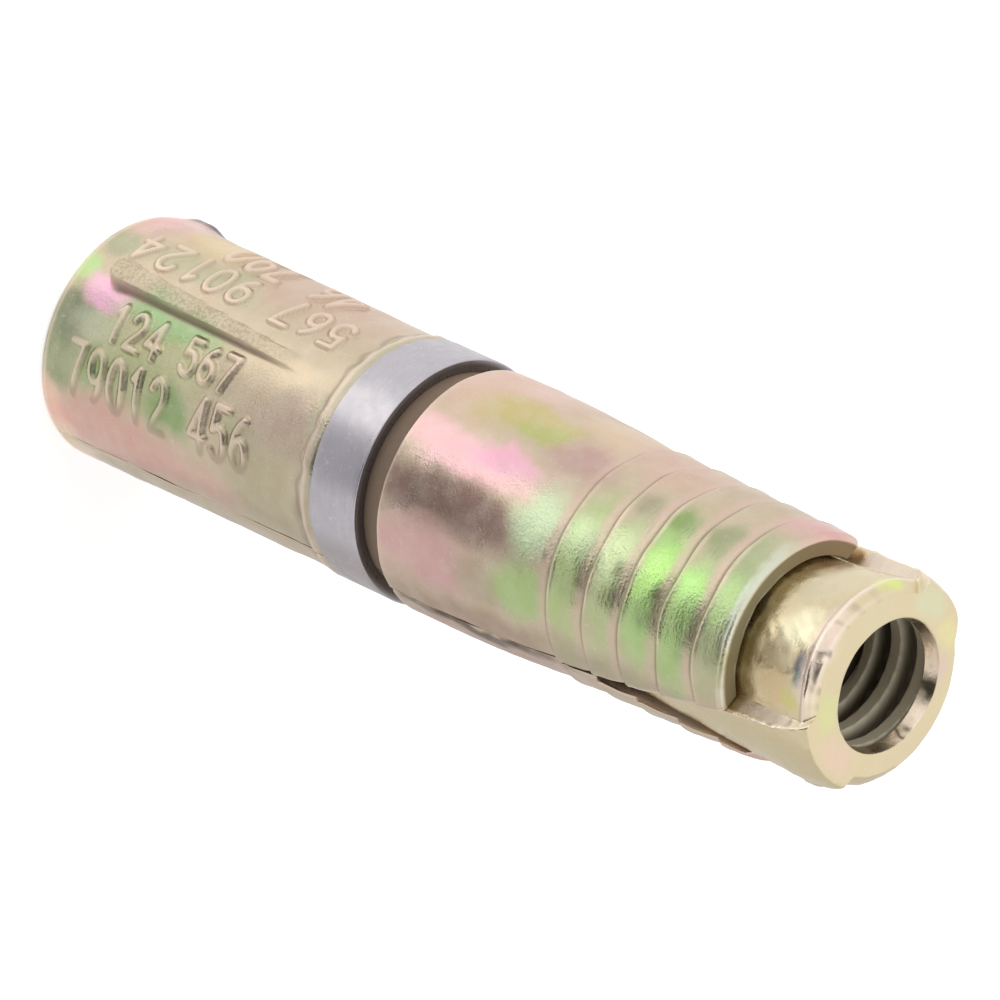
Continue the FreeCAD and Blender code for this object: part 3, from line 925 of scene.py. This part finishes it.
def shell_finish(heading, more=()):
    """Iridescent plating: soft patches with painted highlights and painted dark reflection bands among
    them, grit, bare crests with painted highlights, and dirt with painted shade in the corners.
    """
    finish = Finish(f"shell_plating_{heading}", heading)
    moved = finish.wavering(2.2, 3.0, 2.2)
    tint = SHELL_TAN
    for patch in (*SHELL_PATCHES, *more):
        tint = finish.patch(tint, moved, SHELL_PATCH_RADIUS, patch)
    tint = finish.coat(tint, finish.between(finish.noise(0.9, 4.0), 0.35, 0.7), 0.16, SHELL_CLOUD)
    tint = finish.coat(tint, finish.between(finish.noise(0.16, 2.0), 0.62, 0.72), 0.14, SHELL_SPECK)
    rough = finish.field("rough")
    pits = finish.between(finish.noise(0.12, 2.0), 0.36, 0.6)
    # Rough back of the rib, painted lighter with a highlight on its top
    tint = finish.coat(tint, rough, 0.55, finish.mix(pits, RIB_PIT, RIB_BACK))
    tint = finish.coat(tint, finish.field("blush"), 0.8, TOOTH_BLUSH)
    # Dark smear before each crest low on the side, partly a painted dark reflection
    tint = finish.coat(tint, finish.field("smear"), 0.9, TOOTH_SMEAR_AND_DARK_REFLECTION)
    grit = finish.field("grit")
    grain = finish.between(finish.noise(0.09, 3.0), 0.46, 0.64)
    tint = finish.coat(tint, grain, finish.between(grit, 0.0, 1.0, 0.03, 0.13), SHELL_GRAIN)
    # Bare metal with painted highlights on the edges, crests, numerals and lip
    tint = finish.coat(tint, finish.field("worn"), 0.8, SHELL_BARE_AND_HIGHLIGHT)
    # Dirt and painted shade in corners, creases and recesses, olive towards the nose
    grime = finish.field("grime")
    dirt_and_shade = finish.mix(finish.between(finish.height, 30 * MM, 34 * MM), SHELL_DIRT_AND_SHADE, NOSE_DIRT_AND_SHADE)
    finish.set("Base Color", finish.mix(grime, tint, dirt_and_shade))
    finish.set("Metallic", finish.between(grime, 0.1, 0.9, 1.0, 0.1))
    gloss = finish.between(finish.noise(1.2, 3.0), 0.3, 0.7, 0.26, 0.38)
    gloss = finish.maths("ADD", gloss, finish.maths("MULTIPLY", rough, 0.15))
    finish.set("Roughness", finish.maths("ADD", gloss, finish.maths("MULTIPLY", grime, 0.3)))
    toothed = finish.between(finish.height, 25 * MM, 27.5 * MM, 0.0, 0.35)
    streak = finish.noise(0.5, 3.0, stretch=(0.4, 0.4, 5.0))
    finish.relief((finish.noise(0.1, 2.0), finish.between(grit, 0.0, 1.0, 0.35, 0.65), 0.025),
                  (finish.noise(0.45, 2.0), 0.4, 0.035),
                  (finish.maths("MULTIPLY", streak, toothed), 1.0, 0.03))
    return finish.data


# Patches of the band, in the same form: a painted highlight, a painted dark reflection band and a darker
# low side
BAND_PATCHES = [
    (15.9, 8, 2.2, 10, (230, 224, 226), 0.8),
    (15.9, 33, 2.2, 13, (176, 172, 180), 0.8),
    (15.9, 92, 2.2, 20, (184, 172, 168), 0.7),
]


def band_finish():
    """Bare steel with fine scratches round the band and small pits, with painted shade on its faces and
    edges, a painted highlight and a painted dark reflection band.
    """
    finish = Finish("band_steel")
    streak = finish.noise(0.5, 3.0, stretch=(0.35, 0.35, 6.0))
    tint = finish.mix(streak, BAND_DARK, BAND_LIGHT)
    for patch in BAND_PATCHES:
        tint = finish.patch(tint, finish.place, BAND_RADIUS, patch, depth=0.8)
    tint = finish.coat(tint, finish.between(finish.noise(0.6, 4.0), 0.35, 0.7), 0.3, BAND_CLOUD)
    tint = finish.coat(tint, finish.between(finish.noise(0.14, 2.0), 0.64, 0.72), 0.3, BAND_SPECK)
    # Painted shade, with some dirt, on the band's faces and edges
    grime = finish.field("grime")
    finish.set("Base Color", finish.mix(grime, tint, BAND_DIRT_AND_SHADE))
    finish.set("Metallic", finish.between(grime, 0.3, 1.0, 1.0, 0.4))
    finish.set("Roughness", finish.between(finish.noise(0.4, 3.0), 0.3, 0.7, 0.26, 0.4))
    finish.relief((streak, 0.35, 0.01), (finish.noise(0.2, 2.0), 0.2, 0.015))
    return finish.data


# Patches of the nut's round side, in the same form
NUT_PATCHES = [
    (35.6, 25, 0.7, 45, (146, 132, 92), 0.8),
    (36.2, -40, 0.9, 20, (176, 152, 112), 0.7),
    (38.35, 31, 0.34, 7, (84, 92, 116), 0.85),
    (38.5, 38, 0.3, 5, (116, 146, 148), 0.85),
    (37.6, 12, 0.9, 13, (255, 248, 212), 0.85),
    (36.6, 34, 0.8, 12, (196, 176, 138), 0.7),
    (37.3, 50, 1.0, 13, (222, 194, 150), 0.8),
    (38.2, 52, 0.5, 7, (214, 212, 130), 0.7),
    (37.0, -20, 1.3, 18, (226, 216, 186), 0.7),
    # Painted highlight along the rim
    (38.9, 20, 0.5, 50, (250, 226, 214), 0.75),
    (38.9, -40, 0.4, 10, (228, 242, 140), 0.95),
]

# Patches of the nut's face: radius, angle, half radius, half angle, colour, strength
FACE_PATCHES = [
    (3.0, 58, 0.5, 16, (222, 224, 162), 0.8),
    (3.1, 95, 0.6, 20, (236, 208, 184), 0.8),
    (3.0, -20, 0.5, 22, (226, 214, 178), 0.6),
    (3.3, -72, 0.6, 16, (222, 222, 186), 0.8),
    (3.2, -104, 0.5, 12, (236, 226, 170), 0.8),
    (2.8, -128, 0.3, 14, (228, 202, 190), 0.8),
    (3.1, 160, 0.5, 30, (226, 208, 176), 0.6),
]


def nut_finish():
    """Pale gold plating, with a pinkish rim with a painted highlight, a blue spot and a thread with
    painted shade in its roots.
    """
    finish = Finish("nut_plating")
    moved = finish.wavering(1.0, 2.0, 0.6)
    tint = NUT_GOLD
    for patch in NUT_PATCHES:
        tint = finish.patch(tint, moved, NUT_PATCH_RADIUS, patch, depth=0.5)
    for radius, angle, half_radius, *look in FACE_PATCHES:
        patch = (NUT_HIGH, angle, FACE_PATCH_DEPTH, *look)
        tint = finish.patch(tint, moved, radius, patch, depth=half_radius)
    tint = finish.coat(tint, finish.between(finish.noise(0.8, 4.0), 0.35, 0.7), 0.18, NUT_CLOUD)
    # Bare metal with painted highlights on the rim, its inner edge, the wings' edges and the mouth
    tint = finish.coat(tint, finish.field("worn"), 0.85, NUT_BARE_AND_HIGHLIGHT)
    tint = finish.mix(finish.field("smudge"), tint, NUT_SMUDGE)
    bore = finish.field("bore")
    tint = finish.mix(bore, tint, THREAD_STEEL)
    # Painted shade in the thread's roots
    finish.set("Base Color", finish.coat(tint, finish.field("grime"), 0.97, THREAD_DIRT_AND_SHADE))
    dull = finish.maths("MAXIMUM", bore, finish.field("matte"))
    finish.set("Metallic", finish.between(dull, 0.0, 1.0, 1.0, 0.2))
    gloss = finish.between(finish.noise(0.8, 3.0), 0.3, 0.7, 0.22, 0.34)
    finish.set("Roughness", finish.maths("ADD", gloss, finish.maths("MULTIPLY", bore, 0.25)))
    finish.relief((finish.noise(0.12, 2.0), finish.between(bore, 0.0, 1.0, 0.35, 0.0), 0.015),
                  (finish.noise(0.5, 2.0), finish.between(bore, 0.0, 1.0, 0.4, 0.0), 0.03))
    return finish.data


# Stage

FLOOR_HALF = 1500.0
FLOOR_WHITE = (0.82, 0.82, 0.82, 1)
FLOOR_GLOW = 0.5
SKY_LEVEL = 0.4


def flat(inner, outer, height=0.2):
    """Profile of a card that lies level, just over the floor."""
    return [(inner, height), (outer, height)]


WALL = [(86.0, 30.0), (88.0, 90.0)]
SWEEP = flat(5.5, 70.0) + WALL
CARD_COLUMNS = 9

# Cards: name, start and end angle, profile of radius and height, level
CARDS = [
    ("near_card", 8, 62, flat(5.5, 25.2), 0.8),
    ("dark_card", 16, 62, flat(25.8, 34.5), 0.0),
    ("tooth_card", 0, 44, flat(35.0, 62.0), 1.4),
    ("dull_card", 44, 62, flat(35.0, 62.0), 0.9),
    ("dim_card", -46, 0, flat(35.0, 70.0, 0.4), 0.82),
    ("dark_wall", 24, 66, flat(64.0, 80.0) + WALL, 0.05),
    ("low_card", 62, 112, SWEEP, 0.82),
    ("side_card", 112, 190, SWEEP, 0.68),
    ("top_card", -170, -34, SWEEP, 0.98),
    ("bright_card", -34, 4, flat(5.5, 34.0, 0.3), 1.15),
]

# Lamps: name, azimuth, elevation, distance, size, power
LAMPS = [
    ("key", -50, 55, 400, 320, 0.75),
    ("fill", 150, 60, 400, 360, 0.5),
]

# Camera, fitted to the outline in the photograph
CAMERA_AZIMUTH = 112.0
CAMERA_ELEVATION = 40.277
CAMERA_ROLL = -114.918
CAMERA_TARGET = (0.0807, -0.1997, 19.6546)
CAMERA_DISTANCE = 363.3465
CAMERA_LENS = 360
CAMERA_SENSOR = 36


def seen_share(tree):
    """Map range node, at its high end for camera, glossy and transmission rays."""
    path = tree.nodes.new("ShaderNodeLightPath")
    total = path.outputs["Is Camera Ray"]
    for ray in ("Is Glossy Ray", "Is Transmission Ray"):
        joined = tree.nodes.new("ShaderNodeMath")
        joined.operation = "MAXIMUM"
        tree.links.new(total, joined.inputs[0])
        tree.links.new(path.outputs[ray], joined.inputs[1])
        total = joined.outputs[0]
    strength = tree.nodes.new("ShaderNodeMapRange")
    tree.links.new(total, strength.inputs["Value"])
    return strength


def bare_material(name):
    """New material, its node tree and the input that takes its surface."""
    material = bpy.data.materials.new(name)
    material.use_nodes = True
    tree = material.node_tree
    tree.nodes.clear()
    return material, tree, tree.nodes.new("ShaderNodeOutputMaterial").inputs["Surface"]


def floor_finish():
    """Diffuse white that also glows for camera, glossy and transmission rays."""
    material, tree, surface = bare_material("floor_white")
    diffuse = tree.nodes.new("ShaderNodeBsdfDiffuse")
    diffuse.inputs["Color"].default_value = FLOOR_WHITE
    glow = tree.nodes.new("ShaderNodeEmission")
    both = tree.nodes.new("ShaderNodeAddShader")
    strength = seen_share(tree)
    strength.inputs["To Max"].default_value = FLOOR_GLOW
    tree.links.new(strength.outputs[0], glow.inputs["Strength"])
    tree.links.new(diffuse.outputs[0], both.inputs[0])
    tree.links.new(glow.outputs[0], both.inputs[1])
    tree.links.new(both.outputs[0], surface)
    return material


def floor():
    """Wide white floor, which also is the background."""
    mesh = bpy.data.meshes.new("floor")
    half = FLOOR_HALF * MM
    mesh.from_pydata([(-half, -half, 0), (half, -half, 0), (half, half, 0), (-half, half, 0)],
                     [], [(0, 1, 2, 3)])
    mesh.materials.append(floor_finish())
    plane = add_object("floor", mesh)


def card(name, start, end, profile, level):
    """Card that only reflections see: a profile of (radius, height) over a range of angles."""
    angles = np.linspace(start, end, CARD_COLUMNS)
    points = np.array([cylinder(radius + 0 * angles, angles, height) for radius, height in profile])
    mesh = bpy.data.meshes.new(name)
    mesh.from_pydata((points.reshape(-1, 3) * MM).tolist(), [], grid_faces(*points.shape[:2]))
    material, tree, surface = bare_material(name)
    glow = tree.nodes.new("ShaderNodeEmission")
    glow.inputs["Color"].default_value = (level, level, level, 1)
    tree.links.new(glow.outputs[0], surface)
    mesh.materials.append(material)
    screen = add_object(name, mesh)
    for kind in ("camera", "diffuse", "transmission", "shadow", "volume_scatter"):
        setattr(screen, "visible_" + kind, False)


def lamp(name, azimuth, elevation, distance, size, power):
    """Square soft lamp that points at the middle of the anchor and leaves no glint."""
    data = bpy.data.lights.new(name, "AREA")
    data.shape = "SQUARE"
    data.size = size * MM
    data.energy = power
    turn, rise = math.radians(azimuth), math.radians(elevation)
    way = Vector((math.cos(rise) * math.cos(turn), math.cos(rise) * math.sin(turn), math.sin(rise)))
    middle = Vector((0, 0, NUT_HIGH / 2 * MM))
    light = add_object(name, data)
    light.location = middle + way * distance * MM
    light.rotation_euler = (-way).to_track_quat("-Z", "Y").to_euler()
    light.visible_glossy = False


def world():
    """Even pale surroundings."""
    surroundings = bpy.data.worlds.new("surroundings")
    surroundings.use_nodes = True
    sky = surroundings.node_tree.nodes["Background"]
    strength = seen_share(surroundings.node_tree)
    strength.inputs["To Min"].default_value = SKY_LEVEL
    strength.inputs["To Max"].default_value = 1.0
    surroundings.node_tree.links.new(strength.outputs[0], sky.inputs["Strength"])
    sky.inputs["Color"].default_value = (1, 1, 1, 1)
    bpy.context.scene.world = surroundings


def camera():
    """Camera that looks down along the anchor, turned so that the nut is at the lower right."""
    azimuth, elevation = math.radians(CAMERA_AZIMUTH), math.radians(CAMERA_ELEVATION)
    roll = math.radians(CAMERA_ROLL)
    back = Vector((math.sin(azimuth) * math.cos(elevation), -math.cos(azimuth) * math.cos(elevation),
                   math.sin(elevation)))
    level = Vector((math.cos(azimuth), math.sin(azimuth), 0))
    upright = back.cross(level)
    up = math.cos(roll) * upright + math.sin(roll) * level
    right = math.cos(roll) * level - math.sin(roll) * upright
    data = bpy.data.cameras.new("camera")
    data.lens = CAMERA_LENS
    data.sensor_width = CAMERA_SENSOR
    data.clip_start = 10 * MM
    view = add_object("camera", data)
    turn = Matrix((right, up, back)).transposed().to_4x4()
    place = Vector(CAMERA_TARGET) + back * CAMERA_DISTANCE
    view.matrix_world = Matrix.Translation(place * MM) @ turn
    bpy.context.scene.camera = view


shell_a = half_shell("half_shell_a", heading=0, seed=11, flash=FLASH_RISE)
shell_b = half_shell("half_shell_b", heading=180, seed=23)
shell_a.data.materials.append(shell_finish(0, [FLASH_PATCH]))
shell_b.data.materials.append(shell_finish(180))
band().data.materials.append(band_finish())
nut().data.materials.append(nut_finish())

floor()
for row in CARDS:
    card(*row)
for row in LAMPS:
    lamp(*row)
world()
camera()
bpy.context.scene.view_settings.view_transform = "Standard"
